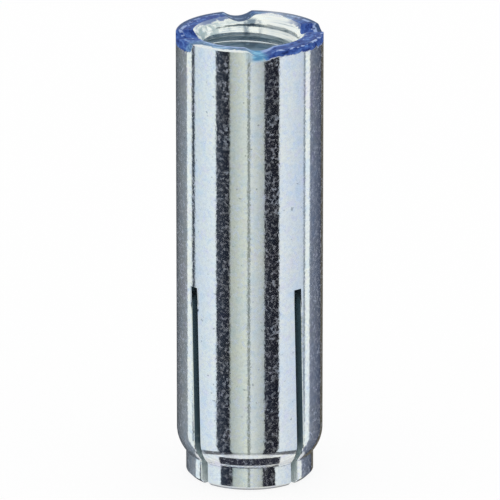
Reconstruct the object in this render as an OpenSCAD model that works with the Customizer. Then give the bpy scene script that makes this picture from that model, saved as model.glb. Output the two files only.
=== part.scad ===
// Drop-in anchor: a turned steel sleeve, tapped at its upper end and sawn into four legs at its
// lower end, with a tapered plug inside that spreads the legs when it is driven down.
// It stands on its nose, with its axis on Z and the centre of its foot at the origin.

/* [Anchor body] */
// Outer diameter of the body
body_d = 12.6; // [11.8:0.1:14]
// Overall length of the body
body_l = 39.7; // [38:0.1:50]
// Chamfer on the outer edge of the rim
rim_chamfer = 0.1; // [0.05:0.05:0.4]

/* [Nose] */
// Diameter of the stepped nose
nose_d = 11; // [10:0.1:11.4]
// Height of the nose below the shoulder
nose_h = 2.15; // [1.4:0.05:3]
// Height of the shoulder cone up to its sharp upper corner
shoulder_h = 1; // [0.8:0.1:1.6]
// Radius that rounds the shoulder into the body
shoulder_r = 3; // [0.5:0.1:4]
// Radius in the corner between the nose and the shoulder
nose_fillet = 0.2; // [0.1:0.05:0.4]
// Chamfer around the foot of the nose
foot_chamfer = 0.4; // [0.1:0.05:0.6]

/* [Tapped hole] */
// Outer diameter of the bolt thread that the anchor takes
thread_d = 9.525; // [8.5:0.025:9.6]
// Pitch of the thread
thread_pitch = 1.5875; // [1:0.0125:1.8]
// Depth of the tapped hole below the rim
thread_depth = 15.9; // [12:0.1:18]
// Diameter of the countersink at the rim
mouth_d = 9.7; // [9.6:0.05:10.6]

/* [Plug bore] */
// Diameter of the plain bore that holds the plug
plug_bore_d = 7; // [6.4:0.05:7.2]
// Height above the foot at which the bore starts to narrow
taper_top = 14; // [12:0.1:16]
// Diameter of the hole through the foot
exit_d = 4.6; // [3.5:0.1:5.4]
// Height of the straight hole through the foot
exit_h = 1; // [0.5:0.1:3]

/* [Slots] */
// Number of saw cuts across the nose, each of which makes two slots
saw_cuts = 2; // [1:1:3]
// Width of each saw cut
slot_w = 0.72; // [0.4:0.01:1.2]
// Length of each slot on the outside of the body
slot_l = 18.1; // [12:0.1:20]
// Direction of the first saw cut, from +X
slot_angle = 225; // [180:5:270]
// Lean of each saw cut away from the axis
slot_lean = 1.45; // [0:0.05:2]
// Radius of the saw, which rounds the upper end of each slot
saw_r = 30; // [25:1:60]

/* [Rim notches] */
// Number of notches around the rim
notches = 4; // [2:1:6]
// Direction of the first notch, from +X
notch_angle = 10; // [0:1:90]
// Radius of each round-bottomed notch
notch_r = 1.9; // [1:0.1:3]
// Depth of each notch
notch_depth = 0.45; // [0.2:0.05:0.8]

/* [Expander plug] */
// Overall length of the plug
plug_l = 9.5; // [8:0.1:9.9]
// Length of the plug's tapered end
plug_taper_l = 5.5; // [3:0.1:6.5]
// Clearance on the radius between the plug and its bore
plug_fit = 0.02; // [0.01:0.01:0.1]
// Chamfer on both ends of the plug
plug_chamfer = 0.3; // [0.1:0.05:0.5]

/* [Hidden] */
$fn = 96;

zinc = [0.77, 0.79, 0.81];
hardened_steel = [0.50, 0.51, 0.53];

// How far a cutter runs past the face that it opens
overcut = 1;

body_rad = body_d / 2;
nose_rad = nose_d / 2;
mouth_rad = mouth_d / 2;
exit_rad = exit_d / 2;
plug_bore_rad = plug_bore_d / 2;

// The tapped hole's wall is at the crests of a 60 degree thread, five eighths of its sharp height deep
tap_rad = (thread_d - 2 * (5 / 8) * thread_pitch * sin(60)) / 2;
tap_bottom = body_l - thread_depth;
countersink_h = mouth_rad - tap_rad;

// Tangent points of the rounds at the two ends of the shoulder cone
shoulder_angle = atan((body_rad - nose_rad) / shoulder_h);
cone_dir = [sin(shoulder_angle), cos(shoulder_angle)];
cone_foot = [nose_rad, nose_h];
cone_head = [body_rad, nose_h + shoulder_h];
fillet_run = nose_fillet * tan(shoulder_angle / 2);

// The upper round takes no more of the cone than the fillet below it leaves
round_run = min(shoulder_r * tan(shoulder_angle / 2), norm(cone_head - cone_foot) - 1.5 * fillet_run);
round_rad = round_run / tan(shoulder_angle / 2);

saw_z = slot_l - sqrt(saw_r * saw_r - body_rad * body_rad);

taper_slope = (plug_bore_rad - exit_rad) / (taper_top - exit_h);
plug_rad = plug_bore_rad - plug_fit;
plug_z = taper_top - plug_taper_l;
plug_top = plug_z + plug_l;
plug_tip_rad = plug_rad - taper_slope * plug_taper_l;

// Outline of the body on one side of the axis, before it is bored
module body_outline() {
    difference() {
        union() {
            polygon([
                [0, 0],
                [nose_rad - foot_chamfer, 0],
                [nose_rad, foot_chamfer],
                cone_foot - [0, fillet_run],
                cone_foot + fillet_run * cone_dir,
                cone_head - round_run * cone_dir,
                cone_head + [0, round_run],
                [body_rad, body_l - rim_chamfer],
                [body_rad - rim_chamfer, body_l],
                [0, body_l]
            ]);
            intersection() {
                translate(cone_head + [-round_rad, round_run]) circle(round_rad);
                square([body_rad, body_l]);
            }
        }
        translate(cone_foot + [nose_fillet, -fillet_run]) circle(nose_fillet);
    }
}

// Hole through the foot, taper, plain bore, tapped hole and countersink, on one side of the axis
module bore_outline() {
    polygon([
        [0, -overcut],
        [exit_rad, -overcut],
        [exit_rad, exit_h],
        [plug_bore_rad, taper_top],
        [plug_bore_rad, tap_bottom - (tap_rad - plug_bore_rad)],
        [tap_rad, tap_bottom],
        [tap_rad, body_l - countersink_h],
        [mouth_rad + overcut, body_l + overcut],
        [0, body_l + overcut]
    ]);
}

// One pass of the saw, straight across the nose and up both sides
module saw_cut() {
    rotate([slot_lean, 0, 0])
        translate([0, 0, saw_z])
            rotate([90, 0, 0])
                cylinder(r = saw_r, h = slot_w, center = true);
}

// One round-bottomed notch, from the mouth out through the rim
module rim_notch() {
    translate([0, 0, body_l + notch_r - notch_depth])
        rotate([0, 90, 0])
            cylinder(r = notch_r, h = body_rad + overcut);
}

module anchor_body() {
    color(zinc)
        difference() {
            rotate_extrude() body_outline();
            rotate_extrude() bore_outline();
            for (i = [0 : saw_cuts - 1])
                rotate(slot_angle + i * 180 / saw_cuts) saw_cut();
            for (i = [0 : notches - 1])
                rotate(notch_angle + i * 360 / notches) rim_notch();
        }
}

module expander_plug() {
    color(hardened_steel)
        rotate_extrude()
            polygon([
                [0, plug_z],
                [plug_tip_rad - plug_chamfer, plug_z],
                [plug_tip_rad + taper_slope * plug_chamfer, plug_z + plug_chamfer],
                [plug_rad, taper_top],
                [plug_rad, plug_top - plug_chamfer],
                [plug_rad - plug_chamfer, plug_top],
                [0, plug_top]
            ]);
}

anchor_body();
expander_plug();
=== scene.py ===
"""Drop-in anchor: the zinc-plated sleeve with its thread, saw cuts and painted rim, and the plug inside it.

Lengths are in millimetres and angles in degrees, unless a name says otherwise. The frame is in metres.
"""
import math

import bmesh
import bpy
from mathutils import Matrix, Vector


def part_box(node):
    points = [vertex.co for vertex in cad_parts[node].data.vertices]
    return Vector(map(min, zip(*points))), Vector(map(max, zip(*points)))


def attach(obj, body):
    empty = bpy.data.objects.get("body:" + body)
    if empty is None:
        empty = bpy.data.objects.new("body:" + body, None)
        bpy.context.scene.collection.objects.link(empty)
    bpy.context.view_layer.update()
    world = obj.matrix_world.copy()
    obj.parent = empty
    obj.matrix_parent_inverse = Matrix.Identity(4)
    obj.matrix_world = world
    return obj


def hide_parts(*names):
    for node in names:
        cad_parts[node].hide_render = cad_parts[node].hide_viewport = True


MM = 0.001

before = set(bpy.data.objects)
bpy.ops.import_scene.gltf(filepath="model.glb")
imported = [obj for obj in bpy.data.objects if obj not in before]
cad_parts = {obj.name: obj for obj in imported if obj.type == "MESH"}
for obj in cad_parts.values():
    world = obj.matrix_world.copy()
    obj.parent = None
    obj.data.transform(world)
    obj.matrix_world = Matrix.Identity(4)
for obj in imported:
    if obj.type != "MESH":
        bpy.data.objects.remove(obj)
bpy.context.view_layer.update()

body_low, body_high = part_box("anchor_body")
plug_low, plug_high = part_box("expander_plug")

# Outside of the sleeve
BODY_RAD = (body_high[0] - body_low[0]) / 2 / MM
BODY_L = body_high[2] / MM
RIM_CHAMFER = 0.05
NOSE_RAD = 5.5
NOSE_H = 2.15
SHOULDER_H = 1.0
SHOULDER_R = 3.0
NOSE_FILLET = 0.2
FOOT_CHAMFER = 0.4
FOOT_ROUND = 0.3
FOOT_ANGLE = 45

# Bore and thread
THREAD_RAD = 9.525 / 2
THREAD_PITCH = 1.5875
THREAD_DEPTH = 15.9
THREAD_RUNOUT = 2.4
THREAD_LEAD = 1.6
FIRST_TURN_SHARE = 0.3
CREST_SHARE = 0.2
CREST_ROUND = 0.08
TAP_RAD = THREAD_RAD - (5 / 8) * THREAD_PITCH * math.sin(math.radians(60))
TAP_BOTTOM = BODY_L - THREAD_DEPTH
MOUTH_RAD = 4.85
PLUG_BORE_RAD = 3.5
TAPER_TOP = 14.0
EXIT_RAD = 2.3
EXIT_H = 1.0
EXIT_BREAK = 0.15

# Saw cuts: each slot's direction, and which way it leans as it rises
SLOT_DIRECTIONS = (45, 135, 225, 315)
SLOT_LEANS = (1, 1, -1, -1)
SLOT_LEAN = 1.45
SLOT_W = 0.72
SLOT_L = 18.1
SLOT_EDGE = 0.06
SAW_R = 30.0

# Rim notches
NOTCH_DIRECTIONS = (10, 100, 190, 280)
NOTCH_R = 1.9
NOTCH_DEPTH = 0.45

# Plug
PLUG_RAD = (plug_high[0] - plug_low[0]) / 2 / MM
PLUG_BOTTOM = plug_low[2] / MM
PLUG_TOP = plug_high[2] / MM
PLUG_CHAMFER = 0.3
PLUG_HUB = 0.3

# Mesh density
LEG_STEPS = 60
SLOT_STEPS = 4
SLOT_END_STEPS = 5
BODY_STEPS = 14
RIM_STEPS = 8
BORE_STEPS = 3
ROWS_PER_TURN = 20
PLUG_STEPS = 128

# Depths of the outside's last two rings below the rim, and how far the last level ring of the plain
# bore lies above the slots' inner ends
BAND_FOOT = 1.2
BAND_HEAD = 0.8
BORE_MARGIN = 1.0

# Points this close are welded, edges this short are dissolved, and edges from this angle are sharp
WELD_DIST = 0.0005
SHORT_EDGE = 0.0001
SHARP_ANGLE = 30

# Materials of the sleeve, by their place in its list
PLATE, SAWN, BORE = range(3)


def arc(centre, radius, start, end, steps):
    """Points along an arc in the section plane, with its angles from the outward radius."""
    points = []
    for i in range(steps + 1):
        angle = math.radians(start + (end - start) * i / steps)
        points.append((centre[0] + radius * math.cos(angle), centre[1] + radius * math.sin(angle)))
    return points


def run(start, end, steps):
    """Points along a straight stretch of the section, without its first one."""
    return [
        (start[0] + (end[0] - start[0]) * i / steps, start[1] + (end[1] - start[1]) * i / steps)
        for i in range(1, steps + 1)
    ]


def saw_top(radius):
    """Height of a slot's upper end at a radius: the saw's own arc."""
    return SLOT_L + math.sqrt(SAW_R**2 - radius**2) - math.sqrt(SAW_R**2 - BODY_RAD**2)


INNER_SLOT_TOP = saw_top(PLUG_BORE_RAD)


def leg_section():
    """Section of a leg: down the outside, in across the foot and up the bore, to the slot's end."""
    slope = math.degrees(math.atan((BODY_RAD - NOSE_RAD) / SHOULDER_H))
    half = math.tan(math.radians(slope / 2))
    round_z = NOSE_H + SHOULDER_H + SHOULDER_R * half
    fillet_z = NOSE_H - NOSE_FILLET * half
    path = [(BODY_RAD, SLOT_L)]
    path += run(path[-1], (BODY_RAD, round_z), steps=12)
    path += arc((BODY_RAD - SHOULDER_R, round_z), SHOULDER_R, 0, -slope, steps=20)[1:]
    path += arc((NOSE_RAD + NOSE_FILLET, fillet_z), NOSE_FILLET, 180 - slope, 180, steps=5)
    path += run(path[-1], (NOSE_RAD, FOOT_CHAMFER), steps=4)
    foot_run = FOOT_ROUND * math.tan(math.radians(FOOT_ANGLE / 2))
    foot_r = NOSE_RAD - FOOT_CHAMFER - foot_run
    path += arc((foot_r, FOOT_ROUND), FOOT_ROUND, -FOOT_ANGLE, -90, steps=5)
    path += run(path[-1], (EXIT_RAD + EXIT_BREAK, 0), steps=4)
    path += run(path[-1], (EXIT_RAD, EXIT_BREAK), steps=1)
    path += run(path[-1], (EXIT_RAD, EXIT_H), steps=2)
    path += run(path[-1], (PLUG_BORE_RAD, TAPER_TOP), steps=12)
    path += run(path[-1], (PLUG_BORE_RAD, INNER_SLOT_TOP), steps=4)
    return path


def inset(path, depth):
    """The section moved into the metal by a depth, apart from its two ends."""
    moved = [path[0]]
    for before, here, after in zip(path, path[1:], path[2:]):
        along = Vector((after[0] - before[0], after[1] - before[1])).normalized()
        moved.append((here[0] + along.y * depth, here[1] - along.x * depth))
    return moved + [path[-1]]


def make_columns():
    """The sleeve's upright lines, in order round it.

    Each one is (kind, slot, side of that slot or the next slot, share of the way across).
    """
    columns = []
    for slot in range(4):
        after = (slot + 1) % 4
        columns.append(("wall", slot, 1, 0))
        columns += [("leg", slot, after, i / LEG_STEPS) for i in range(LEG_STEPS + 1)]
        columns.append(("wall", after, -1, 0))
        columns += [("slot", after, after, i / SLOT_STEPS) for i in range(1, SLOT_STEPS)]
    return columns


COLUMNS = make_columns()


def slot_side(slot, side, margin, radius, z):
    """Angle, in radians, of one side of a slot at a radius and a height."""
    lean = SLOT_LEANS[slot] * math.tan(math.radians(SLOT_LEAN)) * min(z, INNER_SLOT_TOP)
    across = lean + side * (SLOT_W / 2 + margin)
    return math.radians(SLOT_DIRECTIONS[slot]) + math.asin(across / radius)


def column_angle(column, radius, z):
    """Angle, in radians, of a column at a radius and a height. It grows all the way round."""
    kind, slot, other, share = column
    turn = 2 * math.pi
    if kind == "wall":
        angle = slot_side(slot, other, 0, radius, z)
        return angle + turn if (slot == 0 and other == -1) else angle
    if kind == "slot":
        low, high = (slot_side(slot, side, 0, radius, z) for side in (-1, 1))
        return low + (high - low) * share + (turn if slot == 0 else 0)
    low = slot_side(slot, 1, SLOT_EDGE, radius, z)
    high = slot_side(other, -1, SLOT_EDGE, radius, z) + (turn if other == 0 else 0)
    return low + (high - low) * share


UPPER_ANGLES = [column_angle(column, BODY_RAD, INNER_SLOT_TOP) for column in COLUMNS]


def at(radius, angle, z):
    """A point of the frame, in metres, from a radius, an angle and a height."""
    return Vector((radius * math.cos(angle), radius * math.sin(angle), z)) * MM


def notch_drop(radius, angle):
    """How far a notch lowers the rim at a point."""
    for direction in NOTCH_DIRECTIONS:
        off = angle - math.radians(direction)
        across = radius * math.sin(off)
        if math.cos(off) > 0 and abs(across) < NOTCH_R:
            drop = NOTCH_DEPTH - NOTCH_R + math.sqrt(NOTCH_R**2 - across**2)
            if drop > 0:
                return drop
    return 0.0


def rim_z(radius, angle):
    """Height of the rim's upper side, of its chamfer and of its notches."""
    chamfer = max(0.0, radius - (BODY_RAD - RIM_CHAMFER))
    return BODY_L - max(chamfer, notch_drop(radius, angle))


def thread_radius(angle, z):
    """Radius of the tapped wall: flat crests with broken edges and round roots, along a right-hand helix."""
    turns = (z - TAP_BOTTOM) / THREAD_PITCH - (angle - UPPER_ANGLES[0]) / (2 * math.pi)
    off = abs((turns + 0.5) % 1.0 - 0.5)
    flank = max(off - CREST_SHARE / 2, 0.0) / (0.5 - CREST_SHARE / 2)
    share = math.sin(math.pi / 2 * flank)
    share = (1 + CREST_ROUND) * share**2 / (share + CREST_ROUND)
    start = min(max((z - TAP_BOTTOM) / THREAD_RUNOUT, 0), 1)
    lead = min(max((BODY_L - z) / THREAD_LEAD, FIRST_TURN_SHARE), 1)
    return TAP_RAD + (THREAD_RAD - TAP_RAD) * share * start * lead


def bore_radius(angle, z):
    """Radius of the tapped wall or of the countersink, whichever was cut deeper."""
    return max(thread_radius(angle, z), MOUTH_RAD - (BODY_L - z))


def join(bm, rings, material=PLATE):
    """Faces between rings that follow each other, with the index of their material."""
    count = len(COLUMNS)
    for first, second in zip(rings, rings[1:]):
        for j in range(count):
            after = (j + 1) % count
            face = bm.faces.new((first[j], first[after], second[after], second[j]))
            face.material_index = material


def ring_at(bm, radius, z, low=False):
    """A ring of the sleeve. A low one follows the slots, and an upper one stands above them."""
    angles = UPPER_ANGLES
    if low:
        angles = [column_angle(column, radius, z) for column in COLUMNS]
    return [bm.verts.new(at(radius, angle, z)) for angle in angles]


def legs(bm):
    """The four legs below the slots' ends, as rings without the slots' own columns."""
    path = leg_section()
    wall_path = inset(path, SLOT_EDGE)
    rings = []
    for point, wall_point in zip(path, wall_path):
        ring = {}
        for j, column in enumerate(COLUMNS):
            if column[0] != "slot":
                radius, z = wall_point if column[0] == "wall" else point
                ring[j] = bm.verts.new(at(radius, column_angle(column, radius, z), z))
        rings.append(ring)
    for first, second in zip(rings, rings[1:]):
        for j in range(len(COLUMNS)):
            after = (j + 1) % len(COLUMNS)
            across_slot = COLUMNS[j][0] == "wall" and COLUMNS[j][2] == -1
            if j in first and after in first and not across_slot:
                bm.faces.new((first[j], first[after], second[after], second[j]))
    return rings


def slot_faces(bm, rings, outer, inner):
    """The two sawn walls and the round end of each slot."""
    count = len(COLUMNS)
    for j, column in enumerate(COLUMNS):
        if column[0] != "wall" or column[2] != -1:
            continue
        across = [(j + k) % count for k in range(SLOT_STEPS + 1)]
        ends = [[outer[k] for k in across]]
        for i in range(1, SLOT_END_STEPS):
            radius = BODY_RAD + (PLUG_BORE_RAD - BODY_RAD) * i / SLOT_END_STEPS
            z = saw_top(radius)
            ends.append([bm.verts.new(at(radius, column_angle(COLUMNS[k], radius, z), z)) for k in across])
        ends.append([inner[k] for k in across])
        loops = [[ring[across[k]] for ring in rings[1:-1]] + [row[k] for row in reversed(ends)]
                 for k in (0, SLOT_STEPS)]
        for first, second in zip(ends, ends[1:]):
            loops += [(first[k], first[k + 1], second[k + 1], second[k]) for k in range(SLOT_STEPS)]
        for loop in loops:
            bm.faces.new(loop).material_index = SAWN


def upper_outside(bm):
    """Rings up the outside from the slots' ends, and across the rim to the mouth's edge."""
    rise = BODY_L - BAND_FOOT - SLOT_L
    heights = [SLOT_L + rise * i / BODY_STEPS for i in range(BODY_STEPS + 1)] + [BODY_L - BAND_HEAD]
    rings = [ring_at(bm, BODY_RAD, z) for z in heights]
    radii = [BODY_RAD, BODY_RAD - RIM_CHAMFER / 2, BODY_RAD - RIM_CHAMFER]
    for radius in radii:
        rings.append([bm.verts.new(at(radius, a, rim_z(radius, a))) for a in UPPER_ANGLES])
    mouth_z = [BODY_L - notch_drop(MOUTH_RAD, a) for a in UPPER_ANGLES]
    mouth_r = [bore_radius(a, z) for a, z in zip(UPPER_ANGLES, mouth_z)]
    for i in range(1, RIM_STEPS):
        across = [radii[-1] + (mouth - radii[-1]) * i / RIM_STEPS for mouth in mouth_r]
        rings.append([bm.verts.new(at(r, a, rim_z(r, a))) for r, a in zip(across, UPPER_ANGLES)])
    rings.append([bm.verts.new(at(r, a, z)) for r, a, z in zip(mouth_r, UPPER_ANGLES, mouth_z)])
    join(bm, rings)
    return rings[0], mouth_z


def thread(bm, mouth_z):
    """The tapped wall, in rows that climb with the helix and stop at the mouth and at the hole's bottom."""
    rows = math.ceil((THREAD_DEPTH / THREAD_PITCH + 1) * ROWS_PER_TURN) + 1
    turn = 2 * math.pi
    grid = []
    for k in range(rows):
        row = []
        for j, angle in enumerate(UPPER_ANGLES):
            climb = k / ROWS_PER_TURN - 1 + (angle - UPPER_ANGLES[0]) / turn
            z = min(max(TAP_BOTTOM + THREAD_PITCH * climb, TAP_BOTTOM), mouth_z[j])
            row.append(bm.verts.new(at(bore_radius(angle, z), angle, z)))
        grid.append(row)
    count = len(COLUMNS)
    for k in range(rows - 1):
        for j in range(count):
            shift = ROWS_PER_TURN if j == count - 1 else 0
            if k + 1 + shift < rows:
                after = (j + 1) % count
                corners = (grid[k][j], grid[k + shift][after], grid[k + 1 + shift][after], grid[k + 1][j])
                bm.faces.new(corners).material_index = BORE


def lower_bore(bm):
    """Rings from the bottom of the tapped hole down the plain bore to the slots' inner ends."""
    step_z = TAP_BOTTOM - (TAP_RAD - PLUG_BORE_RAD)
    rings = [ring_at(bm, TAP_RAD, TAP_BOTTOM), ring_at(bm, PLUG_BORE_RAD, step_z)]
    end_z = INNER_SLOT_TOP + BORE_MARGIN
    level = run((PLUG_BORE_RAD, step_z), (PLUG_BORE_RAD, end_z), BORE_STEPS)
    rings += [ring_at(bm, radius, z) for radius, z in level]
    rings.append(ring_at(bm, PLUG_BORE_RAD, INNER_SLOT_TOP, low=True))
    join(bm, rings, BORE)
    return rings[-1]


def finish_mesh(bm, name, materials):
    """Weld the strips, turn the faces outwards and make the object."""
    bmesh.ops.remove_doubles(bm, verts=bm.verts, dist=WELD_DIST * MM)
    bmesh.ops.dissolve_degenerate(bm, edges=bm.edges, dist=SHORT_EDGE * MM)
    bmesh.ops.triangulate(bm, faces=[f for f in bm.faces if len(f.verts) > 4])
    bmesh.ops.recalc_face_normals(bm, faces=bm.faces)
    mesh = bpy.data.meshes.new(name)
    bm.to_mesh(mesh)
    bm.free()
    for material in materials:
        mesh.materials.append(material)
    mesh.shade_smooth()
    mesh.set_sharp_from_angle(angle=math.radians(SHARP_ANGLE))
    piece = bpy.data.objects.new(name, mesh)
    bpy.context.scene.collection.objects.link(piece)
    return piece


def make_sleeve(materials):
    """The sleeve: its upper part, its tapped hole, its plain bore, its legs and its slots."""
    bm = bmesh.new()
    outer, mouth_z = upper_outside(bm)
    thread(bm, mouth_z)
    inner = lower_bore(bm)
    slot_faces(bm, legs(bm), outer, inner)
    return finish_mesh(bm, "sleeve", materials)


def make_plug(material):
    """The tapered plug, turned, with a flat end above and below."""
    slope = (PLUG_BORE_RAD - EXIT_RAD) / (TAPER_TOP - EXIT_H)
    tip_rad = PLUG_RAD - slope * (TAPER_TOP - PLUG_BOTTOM)
    path = run((0, PLUG_BOTTOM), (tip_rad - PLUG_CHAMFER, PLUG_BOTTOM), steps=3)
    path += run(path[-1], (tip_rad + slope * PLUG_CHAMFER, PLUG_BOTTOM + PLUG_CHAMFER), steps=2)
    path += run(path[-1], (PLUG_RAD, TAPER_TOP), steps=6)
    path += run(path[-1], (PLUG_RAD, PLUG_TOP - PLUG_CHAMFER), steps=4)
    path += run(path[-1], (PLUG_RAD - PLUG_CHAMFER, PLUG_TOP), steps=2)
    path += run(path[-1], (PLUG_HUB, PLUG_TOP), steps=5)
    bm = bmesh.new()
    rings = [
        [bm.verts.new(at(r, 2 * math.pi * i / PLUG_STEPS, z)) for i in range(PLUG_STEPS)] for r, z in path
    ]
    for first, second in zip(rings, rings[1:]):
        for i in range(PLUG_STEPS):
            after = (i + 1) % PLUG_STEPS
            bm.faces.new((first[i], first[after], second[after], second[i]))
    for ring, z in ((rings[0], PLUG_BOTTOM), (rings[-1], PLUG_TOP)):
        centre = bm.verts.new(at(0, 0, z))
        for i in range(PLUG_STEPS):
            bm.faces.new((ring[i], ring[(i + 1) % PLUG_STEPS], centre))
    return finish_mesh(bm, "plug", [material])


def srgb(red, green, blue):
    """A display colour, 0 to 255, as the linear colour that a shader takes."""
    def linear(value):
        value /= 255
        return value / 12.92 if value <= 0.04045 else ((value + 0.055) / 1.055) ** 2.4
    return (linear(red), linear(green), linear(blue), 1.0)


class Graph:
    """Short names for building a node tree."""

    def __init__(self, tree):
        self.tree = tree
        tree.nodes.clear()

    def node(self, kind, **settings):
        made = self.tree.nodes.new("ShaderNode" + kind)
        for key, value in settings.items():
            setattr(made, key, value)
        return made

    def feed(self, socket, value):
        if isinstance(value, bpy.types.NodeSocket):
            self.tree.links.new(value, socket)
        else:
            socket.default_value = value

    def math(self, operation, a, b=0.0, c=0.0):
        made = self.node("Math", operation=operation)
        for socket, value in zip(made.inputs, (a, b, c)):
            self.feed(socket, value)
        return made.outputs[0]

    def split(self, vector):
        made = self.node("SeparateXYZ")
        self.feed(made.inputs[0], vector)
        return made.outputs

    def length(self, a, b):
        """Length of a flat vector."""
        squares = self.math("ADD", self.math("MULTIPLY", a, a), self.math("MULTIPLY", b, b))
        return self.math("SQRT", squares)

    def step(self, value, low, high):
        """0 below low, 1 above high, and smooth between."""
        made = self.node("MapRange", interpolation_type="SMOOTHSTEP")
        for socket, item in zip(made.inputs, (value, low, high, 0.0, 1.0)):
            self.feed(socket, item)
        return made.outputs[0]

    def step_mm(self, value, limits):
        """The same between two limits in millimetres. It falls where the first limit is the higher."""
        return self.step(value, limits[0] * MM, limits[1] * MM)

    def mix(self, share, a, b):
        made = self.node("Mix", data_type="RGBA")
        for index, value in ((0, share), (6, a), (7, b)):
            self.feed(made.inputs[index], value)
        return made.outputs[2]

    def blend(self, share, a, b):
        made = self.node("Mix", data_type="FLOAT")
        for index, value in ((0, share), (2, a), (3, b)):
            self.feed(made.inputs[index], value)
        return made.outputs[0]

    def shade(self, share, a, b):
        """A mix of two shaders."""
        made = self.node("MixShader")
        for socket, value in zip(made.inputs, (share, a.outputs[0], b.outputs[0])):
            self.feed(socket, value)
        return made

    def noise(self, place, scale, detail=2.0, roughness=0.5):
        made = self.node("TexNoise")
        self.feed(made.inputs["Vector"], place)
        for key, value in (("Scale", scale), ("Detail", detail), ("Roughness", roughness)):
            made.inputs[key].default_value = value
        return made.outputs[0]

    def ramp(self, value, stops, interpolation="LINEAR"):
        made = self.node("ValToRGB")
        made.color_ramp.interpolation = interpolation
        elements = made.color_ramp.elements
        while len(elements) < len(stops):
            elements.new(0.5)
        for element, (position, colour) in zip(elements, sorted(stops, key=lambda stop: stop[0])):
            element.position = position
            element.color = colour
        self.feed(made.inputs[0], value)
        return made.outputs[0]

    def bump(self, height, strength, distance, normal=None):
        made = self.node("Bump")
        made.inputs["Strength"].default_value = strength
        made.inputs["Distance"].default_value = distance
        self.feed(made.inputs["Height"], height)
        if normal:
            self.feed(made.inputs["Normal"], normal)
        return made.outputs[0]


def new_material(name):
    material = bpy.data.materials.new(name)
    material.use_nodes = True
    graph = Graph(material.node_tree)
    shader = graph.node("BsdfPrincipled")
    output = graph.node("OutputMaterial")
    graph.feed(output.inputs[0], shader.outputs[0])
    place = graph.node("TexCoord").outputs["Object"]
    return material, graph, shader, place


def turn_share(graph, x, y):
    """Direction round the axis as a share of a turn: 0.5 is the front, and it grows to the right."""
    angle = graph.math("ARCTAN2", x, graph.math("MULTIPLY", y, -1.0))
    return graph.math("MULTIPLY_ADD", angle, 1 / (2 * math.pi), 0.5)


def by_direction(graph, turn, levels):
    """A level that changes round the axis: levels are (degrees from the front, value)."""
    stops = [(0.5 + degrees / 360, (value, value, value, 1.0)) for degrees, value in levels]
    return graph.ramp(turn, stops, "EASE")


# Paint, by degrees from the front: how far it runs down the outside, in millimetres
OUTSIDE_RUN = (
    (-180, 0.30), (-150, 0.55), (-120, 0.65), (-92, 0.85), (-76, 0.98), (-58, 0.92), (-53, 0.7), (-49, 0.0),
    (9, 0.0), (12, 0.72), (26, 0.55), (45, 0.55), (62, 0.65), (80, 0.75), (110, 0.8), (150, 0.6), (180, 0.30),
)
# The radius at which it starts on the rim's upper side
RIM_START = (
    (-180, 4.4), (-168, 4.3), (-160, 4.7), (-155, 4.8), (-138, 4.6), (-110, 4.4), (-80, 3.8), (96, 3.8),
    (124, 4.5), (137, 4.8), (146, 5.2), (154, 5.5), (160, 5.65), (170, 5.2), (180, 4.4),
)
# The radius at which it ends there: a film at the front left stops short of the outer edge
RIM_END = ((-180, 7.0), (-54, 7.0), (-46, 5.75), (-14, 5.8), (4, 5.95), (9, 7.0), (180, 7.0))
# How thick it lies
PAINT_BODY = (
    (-180, 1.0), (-58, 1.0), (-48, 0.95), (-5, 0.95), (12, 1.0), (120, 1.0), (140, 0.85), (160, 0.7),
    (172, 0.95), (180, 1.0),
)
# How far it turns from blue to teal
PAINT_TEAL = (
    (-180, 0.5), (-162, 0.5), (-140, 0.1), (-70, 0.15), (-56, 0.35), (-50, 0.7), (-8, 0.75), (8, 0.5),
    (22, 0.25), (50, 0.1), (100, 0.1), (126, 0.3), (145, 0.6), (180, 0.5),
)
# Where a painted highlight runs in pale dashes along the rim's worn outer edge, in millimetres outward and
# then down, and how much of it is left
HIGHLIGHT_PLACE = ((-180, 5.7), (-110, 5.7), (-70, 6.2), (100, 6.2), (125, 5.75), (180, 5.7))
HIGHLIGHT_DASHES = (
    (-180, 0.1), (-160, 0.7), (-100, 0.8), (-62, 0.8), (-54, 0.0), (12, 0.0), (18, 1.0), (78, 1.0), (92, 0.9),
    (130, 0.8), (150, 0.1), (180, 0.1),
)
# Painted dark reflection along the rim's outer edge, at the back
EDGE_REFLECTION_DARK = ((-180, 1.0), (-110, 0.9), (-86, 0.0), (86, 0.0), (104, 0.9), (180, 1.0))
# Where it is pale along the mouth's edge, at the front: worn paint with a painted highlight
LIP_WEAR_AND_HIGHLIGHT = ((-180, 0.0), (-62, 0.0), (-48, 0.5), (-10, 0.8), (24, 0.8), (40, 0.3), (48, 0.0), (180, 0.0))
# Painted shade where the rim is sunk in the back notch
NOTCH_SHADE = ((-180, 1.0), (-152, 1.0), (-144, 0.0), (144, 0.0), (152, 1.0), (180, 1.0))
# A thin smear on the outside, below the front notch
SMEAR = ((-180, 0.0), (-6, 0.0), (0, 0.4), (4, 0.95), (10, 0.95), (13, 0.3), (15, 0.0), (180, 0.0))
# A painted dark reflection in blue-grey on the mouth's wall below the back notch, and a teal tint along the
# left
BORE_BLUE_REFLECTION = ((-180, 0.9), (-175, 0.8), (-170, 0.0), (162, 0.0), (170, 0.6), (175, 0.9), (180, 0.9))
BORE_TEAL = ((-180, 0.0), (-150, 0.3), (-120, 0.7), (-80, 0.8), (-40, 0.4), (20, 0.0), (180, 0.0))
# Paint that laps over the mouth's edge, at the left and at the right
BORE_LAP = (
    (-180, 0.0), (-164, 0.0), (-154, 0.8), (-128, 0.8), (-110, 0.4), (-96, 0.0), (60, 0.0), (84, 0.8),
    (116, 0.9), (130, 0.5), (140, 0.0), (180, 0.0),
)
# Where the wall of the mouth is duller, at the right
BORE_DULL = ((-180, 0.0), (108, 0.0), (126, 0.45), (156, 0.4), (168, 0.0), (180, 0.0))

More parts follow.
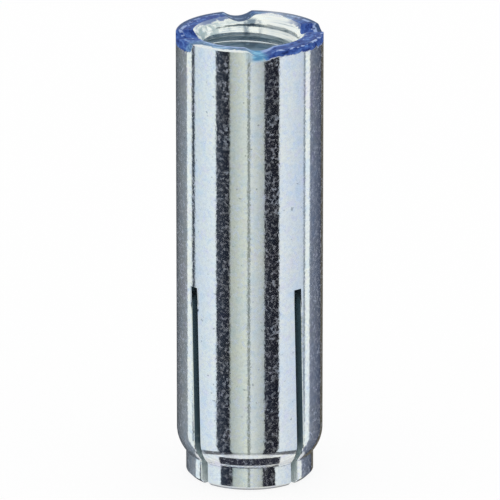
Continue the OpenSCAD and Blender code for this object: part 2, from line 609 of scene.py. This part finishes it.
# Limits of each mark, in millimetres: none at the first, and all of it at the second
RUN_EDGE = (-0.05, 0.08)
RIM_EDGE = (-0.07, 0.12)
EDGE_RADIUS = (5.78, 5.95)
LIP_RADIUS = (5.2, 5.0)
NOTCH_SUNK = (0.05, 0.25)
DASH_HALF = (0.2, 0.1)
SMEAR_FOOT = (1.4, 0.9)
TINT_HEAD = (0.1, 0.4)
TINT_FOOT = (3.0, 2.4)
LAP_FOOT = (0.3, 0.18)
# Depths where the bore's painted shade starts
SECOND_TURN = (1.35, 1.6)
THIRD_TURN = (2.1, 2.5)
# Radius of the painted highlight along the thread's roots
ROOT_RADIUS = (THREAD_RAD - 0.16, THREAD_RAD - 0.06)
# How far noise moves an edge of the paint, in millimetres
RUN_RAGGED = 0.7
RIM_RAGGED = 1.4
SMEAR_RAGGED = 0.6
LAP_RAGGED = 0.8
# Paint strokes are drawn out as if the rim were this small
STROKE_RAD = 2.2
# Pitch of the turning marks on the plug
TURNING_PITCH = 0.22


def plating(graph, place):
    """Colour, metal share, roughness and grain of bright zinc plate, with dull specks and a few pits."""
    cloud = graph.noise(place, 160.0, 3.0, 0.55)
    patches = graph.noise(place, 620.0, 2.0, 0.5)
    tints = graph.noise(place, 1100.0, 2.0, 0.5)
    grain = graph.noise(place, 4200.0, 2.0, 0.55)
    specks = graph.step(graph.noise(place, 3300.0, 3.0, 0.6), 0.47, 0.68)
    specks = graph.math("MULTIPLY", specks, graph.blend(graph.step(patches, 0.36, 0.62), 0.75, 1.35))
    pits = graph.step(graph.noise(place, 2600.0, 1.0, 0.5), 0.72, 0.78)
    colour = graph.ramp(cloud, [
        (0.3, srgb(226, 234, 242)),
        (0.45, srgb(232, 236, 240)),
        (0.6, srgb(240, 241, 234)),
        (0.72, srgb(238, 232, 240)),
    ])
    tint = graph.ramp(tints, [
        (0.32, srgb(200, 222, 236)),
        (0.46, srgb(236, 238, 236)),
        (0.58, srgb(238, 236, 224)),
        (0.7, srgb(226, 214, 240)),
    ])
    colour = graph.mix(0.35, colour, tint)
    colour = graph.mix(graph.math("MULTIPLY", graph.step(grain, 0.4, 0.7), 0.2), colour, srgb(174, 182, 194))
    colour = graph.mix(graph.math("MULTIPLY", pits, 0.5), colour, srgb(90, 98, 110))
    colour = graph.mix(graph.math("MULTIPLY", specks, 0.5), colour, srgb(204, 216, 240))
    metal = graph.math("MULTIPLY_ADD", specks, -0.2, 0.99)
    rough = graph.math("MULTIPLY_ADD", patches, 0.05, 0.03)
    rough = graph.math("MULTIPLY_ADD", specks, 0.05, rough)
    return colour, metal, rough, graph.bump(grain, 0.4, 0.01 * MM)


class RimPlace:
    """Where a point lies on the rim: direction, radius, depth, whether it faces up, place in the strokes."""

    def __init__(self, graph, place):
        x, y, z = graph.split(place)
        self.turn = turn_share(graph, x, y)
        self.radius = graph.length(x, y)
        self.depth = graph.math("SUBTRACT", BODY_L * MM, z)
        upright = graph.split(graph.node("NewGeometry").outputs["True Normal"])[2]
        self.upward = graph.step(upright, 0.5, 0.65)
        self.section = graph.math("ADD", self.radius, self.depth)
        stroke = graph.node("CombineXYZ")
        for socket, value in zip(stroke.inputs, (x, y)):
            outward = graph.math("DIVIDE", value, self.radius)
            graph.feed(socket, graph.math("MULTIPLY", outward, STROKE_RAD * MM))
        graph.feed(stroke.inputs[2], self.section)
        self.stroke = stroke.outputs[0]


def rim_paint(graph, place, rim):
    """How much blue paint lies at a point: on the rim's upper side, and run down the outside."""
    ragged = graph.math("SUBTRACT", graph.noise(place, 1300.0, 3.0, 0.65), 0.5)
    reach = by_direction(graph, rim.turn, OUTSIDE_RUN)
    has_reach = graph.step(reach, 0.03, 0.1)
    reach = graph.math("MULTIPLY_ADD", ragged, RUN_RAGGED, reach)
    below = graph.math("SUBTRACT", graph.math("MULTIPLY", reach, MM), rim.depth)
    run_down = graph.math("MULTIPLY", graph.step_mm(below, RUN_EDGE), has_reach)
    run_down = graph.math("MULTIPLY", run_down, graph.math("SUBTRACT", 1.0, rim.upward))

    moved = graph.math("MULTIPLY", ragged, RIM_RAGGED)
    outward = graph.math("MULTIPLY_ADD", rim.radius, 1 / MM, moved)
    started = graph.math("SUBTRACT", outward, by_direction(graph, rim.turn, RIM_START))
    ended = graph.math("SUBTRACT", by_direction(graph, rim.turn, RIM_END), outward)
    on_top = graph.math("MULTIPLY", graph.step(started, *RIM_EDGE), graph.step(ended, *RIM_EDGE))
    on_top = graph.math("MULTIPLY", on_top, rim.upward)
    laid = graph.math("MAXIMUM", on_top, run_down)
    return graph.math("MULTIPLY", laid, by_direction(graph, rim.turn, PAINT_BODY))


def paint_colour(graph, place, rim):
    """Blue in strokes round the rim, with teal, pale scuffs of wear, pale dashes that are a painted highlight
    on the worn outer edge, a pale lip of worn paint and painted highlight, a painted dark reflection at the
    outer edge and painted shade in a notch.
    """
    strokes = graph.noise(rim.stroke, 1900.0, 3.0, 0.65)
    blots = graph.noise(place, 3000.0, 2.0, 0.6)
    tone = graph.math("MULTIPLY_ADD", graph.math("SUBTRACT", blots, 0.5), 0.6, strokes)
    blue = graph.ramp(tone, [
        (0.28, srgb(28, 44, 94)),
        (0.42, srgb(48, 72, 140)),
        (0.58, srgb(66, 96, 164)),
        (0.72, srgb(94, 130, 194)),
        (0.86, srgb(150, 180, 226)),
    ])
    film = graph.ramp(tone, [
        (0.26, srgb(44, 70, 98)),
        (0.42, srgb(72, 108, 146)),
        (0.56, srgb(96, 138, 180)),
        (0.72, srgb(162, 200, 228)),
    ])
    teal = graph.math("MULTIPLY_ADD", graph.noise(place, 700.0, 2.0, 0.5), 1.2, -0.6)
    teal = graph.math("ADD", teal, by_direction(graph, rim.turn, PAINT_TEAL))
    blue = graph.mix(graph.step(teal, 0.2, 0.7), blue, film)
    # Painted dark reflection along the outer edge, at the back
    edge = graph.step_mm(rim.radius, EDGE_RADIUS)
    edge = graph.math("MULTIPLY", edge, by_direction(graph, rim.turn, EDGE_REFLECTION_DARK))
    # Painted shade in the sunk back notch, joined to the edge's painted dark reflection
    sunk = graph.step_mm(rim.depth, NOTCH_SUNK)
    sunk = graph.math("MULTIPLY", sunk, by_direction(graph, rim.turn, NOTCH_SHADE))
    edge = graph.math("MAXIMUM", edge, sunk)
    blue = graph.mix(graph.math("MULTIPLY", edge, 0.9), blue, srgb(66, 86, 118))
    # Painted highlight: pale dashes along the rim's worn outer edge
    away = graph.math("MULTIPLY_ADD", by_direction(graph, rim.turn, HIGHLIGHT_PLACE), -MM, rim.section)
    ring = graph.step_mm(graph.math("ABSOLUTE", away), DASH_HALF)
    ring = graph.math("MULTIPLY", ring, by_direction(graph, rim.turn, HIGHLIGHT_DASHES))
    gaps = graph.step(graph.noise(place, 2000.0, 1.0, 0.5), 0.46, 0.58)
    scuffs = graph.step(graph.noise(place, 2600.0, 1.0, 0.5), 0.68, 0.76)
    pale = graph.math("MAXIMUM", graph.math("MULTIPLY", ring, gaps), scuffs)
    # Pale line along the mouth's front edge: worn paint with a painted highlight
    lip = graph.step_mm(rim.radius, LIP_RADIUS)
    lip = graph.math("MULTIPLY", lip, by_direction(graph, rim.turn, LIP_WEAR_AND_HIGHLIGHT))
    pale = graph.math("MAXIMUM", pale, lip)
    return graph.mix(graph.math("MULTIPLY", pale, 0.8), blue, srgb(176, 198, 238))


def make_zinc():
    """Bright zinc plate, with blue paint over the rim and a thin smear of it below the front notch."""
    material, graph, shader, place = new_material("zinc_plate")
    plate, plate_metal, plate_rough, plated = plating(graph, place)
    rim = RimPlace(graph, place)
    paint = rim_paint(graph, place, rim)

    ragged = graph.noise(rim.stroke, 900.0, 2.0, 0.5)
    lowest = graph.math("MULTIPLY_ADD", ragged, SMEAR_RAGGED * MM, rim.depth)
    smeared = graph.step_mm(lowest, SMEAR_FOOT)
    smeared = graph.math("MULTIPLY", smeared, by_direction(graph, rim.turn, SMEAR))
    streaks = graph.step(graph.noise(rim.stroke, 2600.0, 2.0, 0.6), 0.4, 0.65)
    smear = graph.mix(streaks, srgb(72, 138, 182), srgb(128, 190, 222))
    colour = graph.mix(paint, plate, paint_colour(graph, place, rim))
    colour = graph.mix(smeared, colour, smear)
    covered = graph.math("MAXIMUM", paint, graph.math("MULTIPLY", smeared, 0.85))
    graph.feed(shader.inputs["Base Color"], colour)
    graph.feed(shader.inputs["Metallic"], graph.blend(covered, plate_metal, 0.0))
    graph.feed(shader.inputs["Roughness"], graph.blend(covered, plate_rough, 0.3))
    shader.inputs["Specular IOR Level"].default_value = 0.02
    graph.feed(shader.inputs["Normal"], graph.bump(paint, 0.8, 0.04 * MM, plated))
    return material


def make_bore_plate():
    """Duller plate in the tapped hole, with marks of the tap along the thread, paint lapped over the mouth's
    edge and a teal tint, and with painted shade deeper down, a painted highlight along the thread's roots and
    a painted dark reflection below the back notch.
    """
    material, graph, shader, place = new_material("bore_plate")
    x, y, z = graph.split(place)
    radius = graph.length(x, y)
    turn = turn_share(graph, x, y)
    depth = graph.math("SUBTRACT", BODY_L * MM, z)
    streak = graph.node("CombineXYZ")
    graph.feed(streak.inputs[0], graph.math("MULTIPLY", x, 0.2))
    graph.feed(streak.inputs[1], graph.math("MULTIPLY", y, 0.2))
    graph.feed(streak.inputs[2], graph.math("MULTIPLY_ADD", radius, 2.0, graph.math("MULTIPLY", z, 2.0)))
    lines = graph.noise(streak.outputs[0], 2200.0, 3.0, 0.65)
    mottle = graph.noise(place, 1300.0, 3.0, 0.6)
    colour = graph.ramp(lines, [
        (0.28, srgb(136, 150, 158)),
        (0.38, srgb(228, 236, 240)),
        (0.54, srgb(254, 254, 246)),
        (0.7, srgb(236, 248, 255)),
    ])
    shade = graph.ramp(lines, [
        (0.32, srgb(96, 116, 122)),
        (0.46, srgb(164, 184, 190)),
        (0.58, srgb(204, 222, 228)),
        (0.7, srgb(242, 250, 255)),
    ])
    # Painted shade deeper in the bore: darker lines from the second turn down, and a cooler tone from the
    # third
    deep = graph.step_mm(depth, SECOND_TURN)
    deeper = graph.step_mm(depth, THIRD_TURN)
    colour = graph.mix(graph.math("MULTIPLY", deep, 0.9), colour, shade)
    colour = graph.mix(graph.math("MULTIPLY", deeper, 0.5), colour, srgb(132, 172, 208))
    near = graph.math("MULTIPLY", graph.step_mm(depth, TINT_HEAD), graph.step_mm(depth, TINT_FOOT))
    near = graph.math("MULTIPLY", near, graph.step(mottle, 0.4, 0.6))
    # Painted dark reflection below the back notch, in blue-grey
    blue = graph.math("MULTIPLY", near, by_direction(graph, turn, BORE_BLUE_REFLECTION))
    teal = graph.math("MULTIPLY", near, by_direction(graph, turn, BORE_TEAL))
    colour = graph.mix(teal, colour, srgb(112, 146, 156))
    colour = graph.mix(blue, colour, srgb(110, 130, 148))
    lap = graph.math("SUBTRACT", depth, LAP_RAGGED / 2 * MM)
    lap = graph.math("MULTIPLY_ADD", mottle, LAP_RAGGED * MM, lap)
    lap = graph.math("MULTIPLY", graph.step_mm(lap, LAP_FOOT), by_direction(graph, turn, BORE_LAP))
    colour = graph.mix(lap, colour, srgb(66, 100, 160))
    # Painted highlight along the thread's roots deeper in the bore, where the plate also stays more metallic
    root = graph.step_mm(radius, ROOT_RADIUS)
    root = graph.math("MULTIPLY", root, deep)
    colour = graph.mix(graph.math("MULTIPLY", root, 0.9), colour, srgb(246, 250, 252))
    dull = graph.math("MULTIPLY", graph.math("SUBTRACT", deep, root), 0.65)
    dull = graph.math("MAXIMUM", dull, graph.math("MULTIPLY", lap, 0.88))
    dull = graph.math("MAXIMUM", dull, by_direction(graph, turn, BORE_DULL))
    graph.feed(shader.inputs["Base Color"], colour)
    graph.feed(shader.inputs["Metallic"], graph.math("MULTIPLY_ADD", dull, -1.0, 0.88))
    shader.inputs["Specular IOR Level"].default_value = 0.1
    graph.feed(shader.inputs["Roughness"], graph.math("MULTIPLY_ADD", mottle, 0.2, 0.1))
    normal = graph.bump(lines, 0.6, 0.02 * MM)
    graph.feed(shader.inputs["Normal"], graph.bump(mottle, 0.6, 0.03 * MM, normal))
    return material


def make_sawn_plate():
    """Sawn walls of the slots, with painted shade: dark where they end, and paler towards the open foot."""
    material, graph, shader, place = new_material("sawn_plate")
    height = graph.split(place)[2]
    streaks = graph.noise(place, 1800.0, 3.0, 0.6)
    upward = graph.math("DIVIDE", height, SLOT_L * MM)
    upward = graph.math("MULTIPLY_ADD", graph.math("SUBTRACT", streaks, 0.5), 0.3, upward)
    # Painted shade: darkest where the slot ends, palest at the open foot
    colour = graph.ramp(upward, [
        (0.0, srgb(240, 246, 246)),
        (0.1, srgb(214, 226, 226)),
        (0.17, srgb(166, 184, 188)),
        (0.26, srgb(100, 124, 136)),
        (0.9, srgb(88, 114, 126)),
        (1.0, srgb(36, 46, 52)),
    ])
    graph.feed(shader.inputs["Base Color"], colour)
    shader.inputs["Metallic"].default_value = 0.35
    shader.inputs["Specular IOR Level"].default_value = 0.3
    graph.feed(shader.inputs["Roughness"], graph.math("MULTIPLY_ADD", streaks, 0.3, 0.4))
    graph.feed(shader.inputs["Normal"], graph.bump(streaks, 0.5, 0.02 * MM))
    return material


def make_plug_steel():
    """Plain hardened steel with fine turning marks."""
    material, graph, shader, place = new_material("plug_steel")
    x, y, z = graph.split(place)
    along = graph.math("ADD", graph.length(x, y), z)
    marks = graph.math("SINE", graph.math("MULTIPLY", along, 2 * math.pi / (TURNING_PITCH * MM)))
    mottle = graph.noise(place, 500.0, 3.0, 0.6)
    colour = graph.ramp(mottle, [(0.3, srgb(140, 142, 146)), (0.7, srgb(176, 178, 180))])
    graph.feed(shader.inputs["Base Color"], colour)
    shader.inputs["Metallic"].default_value = 1.0
    graph.feed(shader.inputs["Roughness"], graph.math("MULTIPLY_ADD", mottle, 0.2, 0.25))
    graph.feed(shader.inputs["Normal"], graph.bump(marks, 0.15, 0.01 * MM))
    return material


# Studio: the panels that the plating mirrors, by degrees from the front, growing to the right. Each one
# gives the angle at which it ends, and its colours at its start and at its end.
PANEL_EDGE = 0.8
PANELS = (
    (-116, (34, 38, 46), (144, 152, 160)),
    (-102.8, (248, 255, 255), (246, 255, 255)),
    (-95.8, (56, 66, 80), (66, 76, 90)),
    (-54.5, (214, 228, 240), (240, 250, 255)),
    (-31.0, (58, 66, 80), (18, 22, 34)),
    (-3.6, (182, 190, 184), (226, 234, 226)),
    (0.6, (142, 150, 146), (142, 150, 146)),
    (23.3, (224, 232, 232), (180, 188, 188)),
    (47.5, (40, 44, 56), (16, 18, 30)),
    (94.0, (236, 244, 250), (206, 218, 234)),
    (97.5, (138, 148, 160), (138, 148, 160)),
    (109.4, (248, 255, 255), (248, 255, 255)),
    (150, (124, 132, 150), (64, 72, 92)),
    (180, (84, 80, 70), (110, 106, 98)),
)
# White above and below the panels, from these heights of a mirrored direction. Below, a share of the
# panels shows through.
SKY_FROM = (-0.02, 0.08)
SKY_WHITE = (246, 250, 248)
GROUND_FROM = (-0.64, -0.68)
GROUND_WHITE = (250, 252, 254)
GROUND_SHARE = 0.78


def make_world():
    """White to the camera and to matt surfaces, and a ring of studio panels to the bright plating."""
    world = bpy.data.worlds.new("studio")
    bpy.context.scene.world = world
    world.use_nodes = True
    graph = Graph(world.node_tree)
    x, y, z = graph.split(graph.node("TexCoord").outputs["Generated"])
    stops = []
    start = -180
    for end, first, last in PANELS:
        stops.append((0.5 + (start + PANEL_EDGE / 2) / 360, srgb(*first)))
        stops.append((0.5 + (end - PANEL_EDGE / 2) / 360, srgb(*last)))
        start = end
    seen = graph.ramp(turn_share(graph, x, y), stops)
    ground = graph.math("MULTIPLY", graph.step(z, *GROUND_FROM), GROUND_SHARE)
    seen = graph.mix(ground, seen, srgb(*GROUND_WHITE))
    seen = graph.mix(graph.step(z, *SKY_FROM), seen, srgb(*SKY_WHITE))
    light_path = graph.node("LightPath")
    colour = graph.mix(light_path.outputs["Is Glossy Ray"], (1.0, 1.0, 1.0, 1.0), seen)
    background = graph.node("Background")
    graph.feed(background.inputs["Color"], colour)
    output = graph.node("OutputWorld")
    graph.feed(output.inputs[0], background.outputs[0])


# Floor: half of its side in metres, its cells, how white it is, and the share of its light, to the camera,
# that no shadow takes
FLOOR_HALF = 2.0
FLOOR_CELLS = 8
FLOOR_WHITE = 0.97
FLOOR_GLOW = 0.85
# Painted shade on the floor by the foot, which only the plating's reflections see: a dark sector in front of
# the nose, a thin dark arc in front of that, and the shade under the foot's edge. An edge is (place, blur) or
# (none, all of it), and a slant goes from 0, straight down, to 1, level.
MIRRORED_DARK = (48, 50, 62)
SECTOR_SLOPE = 0.76
SECTOR_ENDS = (0.0, 0.15)
SECTOR_INNER = (5.62, 0.05)
SECTOR_OUTER = (8.15, 0.1)
SECTOR_SLANT = (0.45, 0.35)
ARC_Y = -3.0
ARC_INNER = (6.9, 0.15)
ARC_OUTER = (8.8, 0.2)
ARC_FRONT = (-4.0, 1.0)
ARC_SIDES = (2.0, 6.0)
ARC_DARK = (0.3, 0.85)
ARC_STARTS = (0.18, 0.28)
ARC_STOPS = (0.62, 0.57)
UNDER_EDGE = (5.22, 0.06)
UNDER_DARK = 0.6


def mirrored_floor(graph):
    """Painted shade on the floor by the foot, as the plating mirrors it, by place and by the slant it is
    mirrored at.
    """
    x, y, _ = graph.split(graph.node("TexCoord").outputs["Object"])
    radius = graph.length(x, y)
    slant = graph.node("LayerWeight").outputs["Facing"]
    side = graph.math("ABSOLUTE", x)

    def within(value, edge):
        limit, blur = edge
        return graph.step_mm(value, (limit + blur, limit - blur))

    sector = graph.math("SUBTRACT", within(radius, SECTOR_OUTER), within(radius, SECTOR_INNER))
    across = graph.math("MULTIPLY_ADD", y, SECTOR_SLOPE, side)
    sector = graph.math("MULTIPLY", sector, within(across, SECTOR_ENDS))
    sector = graph.math("MULTIPLY", sector, graph.step(slant, *SECTOR_SLANT))
    away = graph.length(x, graph.math("SUBTRACT", y, ARC_Y * MM))
    arc_share = graph.math("SUBTRACT", within(away, ARC_OUTER), within(away, ARC_INNER))
    arc_share = graph.math("MULTIPLY", arc_share, within(y, ARC_FRONT))
    darker = graph.blend(graph.step_mm(side, ARC_SIDES), *ARC_DARK)
    arc_share = graph.math("MULTIPLY", arc_share, darker)
    slanting = graph.math("MULTIPLY", graph.step(slant, *ARC_STARTS), graph.step(slant, *ARC_STOPS))
    arc_share = graph.math("MULTIPLY", arc_share, slanting)
    under = graph.math("MULTIPLY", within(radius, UNDER_EDGE), UNDER_DARK)
    near = graph.math("MAXIMUM", sector, under)
    return graph.math("MAXIMUM", near, arc_share)


def make_floor():
    """Pale floor that keeps a faint shadow. The plating sees through it, apart from painted shade by the
    foot.
    """
    bm = bmesh.new()
    bmesh.ops.create_grid(bm, x_segments=FLOOR_CELLS, y_segments=FLOOR_CELLS, size=FLOOR_HALF)
    mesh = bpy.data.meshes.new("floor")
    bm.to_mesh(mesh)
    bm.free()
    floor = bpy.data.objects.new("floor", mesh)
    bpy.context.scene.collection.objects.link(floor)
    material = bpy.data.materials.new("floor")
    material.use_nodes = True
    graph = Graph(material.node_tree)
    matt = graph.node("BsdfDiffuse")
    matt.inputs["Color"].default_value = (FLOOR_WHITE, FLOOR_WHITE, FLOOR_WHITE, 1.0)
    glow = graph.node("Emission")
    dark = graph.node("Emission")
    dark.inputs["Color"].default_value = srgb(*MIRRORED_DARK)
    clear = graph.node("BsdfTransparent")
    light_path = graph.node("LightPath").outputs
    plain = graph.shade(graph.math("MULTIPLY", light_path["Is Camera Ray"], FLOOR_GLOW), matt, glow)
    mirrored = graph.shade(mirrored_floor(graph), clear, dark)
    output = graph.node("OutputMaterial")
    graph.feed(output.inputs[0], graph.shade(light_path["Is Glossy Ray"], plain, mirrored).outputs[0])
    mesh.materials.append(material)


# Camera, from the photograph's outline. Its clipping starts at a length in metres.
CAMERA_ELEVATION = 18.2
CAMERA_DISTANCE = 665.0
CAMERA_AIM_Z = 20.08
CAMERA_SHIFT = 0.0006
FOCAL_PIXELS = 7742.0
FRAME_PIXELS = 500.0
SENSOR_W = 36.0
CLIP_START = 0.05


def make_camera():
    """The photograph's camera, which looks down at the axis from the front."""
    data = bpy.data.cameras.new("camera")
    data.sensor_width = SENSOR_W
    data.lens = FOCAL_PIXELS / FRAME_PIXELS * SENSOR_W
    data.clip_start = CLIP_START
    data.shift_x = CAMERA_SHIFT
    camera = bpy.data.objects.new("camera", data)
    rise = math.radians(CAMERA_ELEVATION)
    aim = Vector((0, 0, CAMERA_AIM_Z)) * MM
    camera.location = aim + Vector((0, -math.cos(rise), math.sin(rise))) * CAMERA_DISTANCE * MM
    camera.rotation_euler = (math.pi / 2 - rise, 0, 0)
    bpy.context.scene.collection.objects.link(camera)
    bpy.context.scene.camera = camera


make_camera()
make_world()
make_floor()

sleeve = make_sleeve([make_zinc(), make_sawn_plate(), make_bore_plate()])
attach(sleeve, "root")
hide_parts("anchor_body")

plug = make_plug(make_plug_steel())
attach(plug, "root")
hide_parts("expander_plug")

bpy.context.scene.view_settings.view_transform = "Standard"
